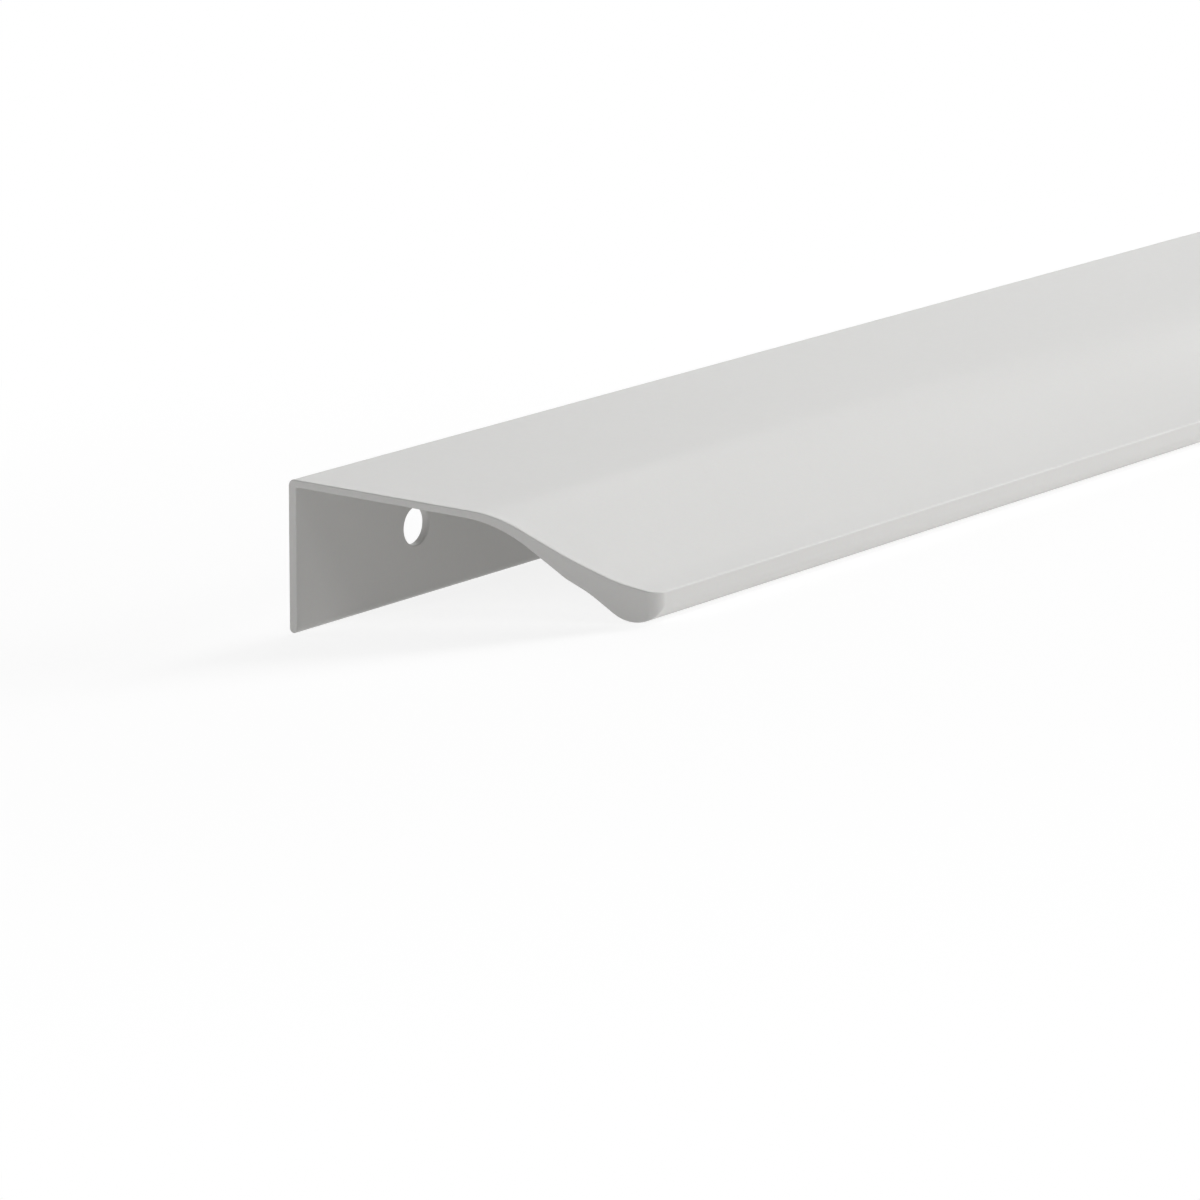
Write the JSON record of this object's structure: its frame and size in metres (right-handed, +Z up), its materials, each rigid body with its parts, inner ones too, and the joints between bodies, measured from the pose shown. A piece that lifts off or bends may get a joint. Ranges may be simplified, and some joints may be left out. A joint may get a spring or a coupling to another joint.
{
  "type": "edge pull",
  "caption": "Edge pull for a cabinet door: a thin leg behind the door, a flat plate over its edge and a waved front that ends in a rounded lip to pull by.",
  "frame": {"origin": "on the floor under the resting pull, midway between its two ends and midway from its back to its front", "axes": "+X from the leg towards the lip, +Y along the length, +Z up from the floor it rests on"},
  "size_m": [0.0488, 0.2, 0.0162],
  "materials": {
    "powder_coat": "matt powder coat, light grey white"
  },
  "bodies": {
    "root": {"pull_profile": "powder_coat"}
  },
  "joints": []
}
